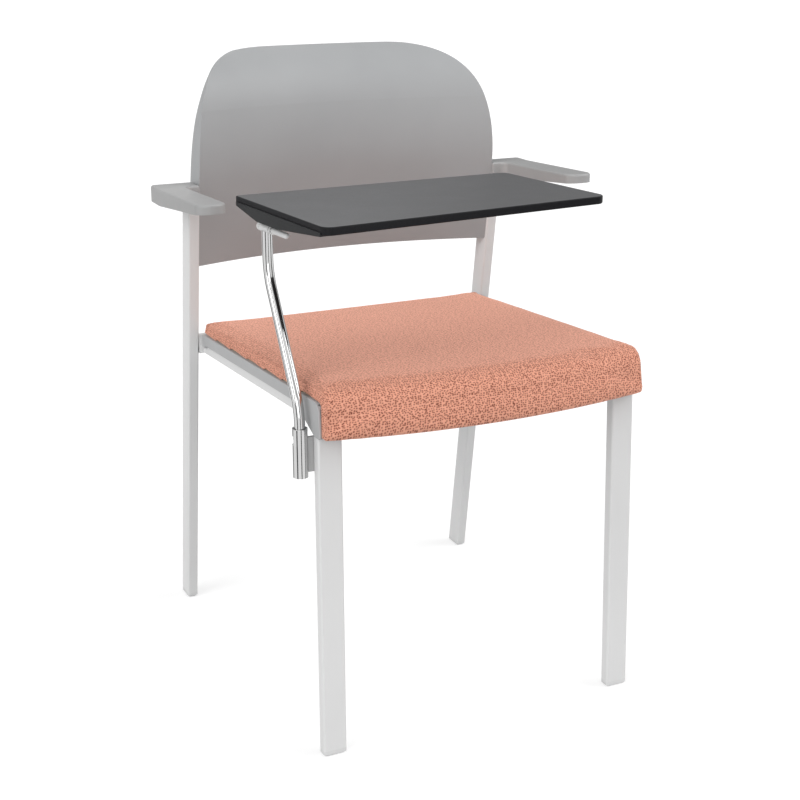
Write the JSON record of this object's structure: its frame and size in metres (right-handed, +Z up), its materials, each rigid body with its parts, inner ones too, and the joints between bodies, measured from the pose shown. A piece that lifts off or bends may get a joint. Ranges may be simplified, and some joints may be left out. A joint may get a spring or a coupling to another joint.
{
  "type": "tablet arm chair",
  "caption": "Chair with a padded fabric seat, a moulded back, arm pads, and a writing tablet that tips up on a post which swivels in a sleeve on a front leg.",
  "frame": {"origin": "on the floor, under the middle of the chair's outer box with the tablet in use", "axes": "+Z up; the sitter faces -Y, so the sitter's right, where the tablet's post is, is -X"},
  "size_m": [0.554, 0.569, 0.8012],
  "materials": {
    "frame_paint": "satin light grey paint",
    "foot_plastic": "moulded",
    "pan_plastic": "fine moulded grain",
    "board_wood": "raw plywood",
    "seat_fabric": "coral pebbled weave",
    "back_plastic": "fine moulded grain",
    "arm_plastic": "fine moulded grain",
    "bracket_metal": "satin grey paint",
    "chrome": "bright plating",
    "hinge_paint": "satin light grey coat",
    "steel": "zinc plated",
    "bush_plastic": "moulded",
    "tablet_laminate": "dark grey laminate with black edges",
    "fairing_plastic": "moulded"
  },
  "bodies": {
    "frame": {"front_leg_left": "frame_paint", "front_leg_right": "frame_paint", "rear_leg_left": "frame_paint", "rear_leg_right": "frame_paint", "side_rail_left": "frame_paint", "side_rail_right": "frame_paint", "front_cross_tube": "frame_paint", "rear_cross_tube": "frame_paint", "front_foot_cap_left": "foot_plastic", "front_foot_cap_right": "foot_plastic", "rear_foot_cap_left": "foot_plastic", "rear_foot_cap_right": "foot_plastic", "seat_pan": "pan_plastic", "seat_board": "board_wood", "seat_cushion": "seat_fabric", "back_shell": "back_plastic", "arm_pad_left": "arm_plastic", "arm_pad_right": "arm_plastic", "sleeve_bracket": "bracket_metal", "swivel_sleeve": "chrome", "seat_screws": "steel", "back_screws": "steel", "arm_pad_screws": "steel", "bracket_screws": "steel", "upper_bush": "bush_plastic", "lower_bush": "bush_plastic", "sleeve_end_cap": "bush_plastic", "thrust_disc": "bush_plastic"},
    "arm": {"tablet_post": "chrome", "stop_pin": "steel", "post_knuckle": "hinge_paint", "hinge_washers": "steel"},
    "tablet": {"hinge_leaf": "hinge_paint", "hinge_pin": "hinge_paint", "hinge_clip": "steel", "leaf_screws": "steel", "tablet_fairing": "fairing_plastic", "fairing_screws": "steel", "tablet_top": "tablet_laminate"}
  },
  "joints": [
    {"name": "arm_swivel", "type": "hinge", "parent": "frame", "child": "arm", "pos_m": [-0.2285, -0.21291, 0.3875], "axis": [0, 0, 1], "range_deg": [0, 55]},
    {"name": "tablet_flip", "type": "hinge", "parent": "arm", "child": "tablet", "pos_m": [-0.2285, -0.12261, 0.631], "axis": [0.1028, -0.9947, 0], "range_deg": [0, 90]}
  ]
}
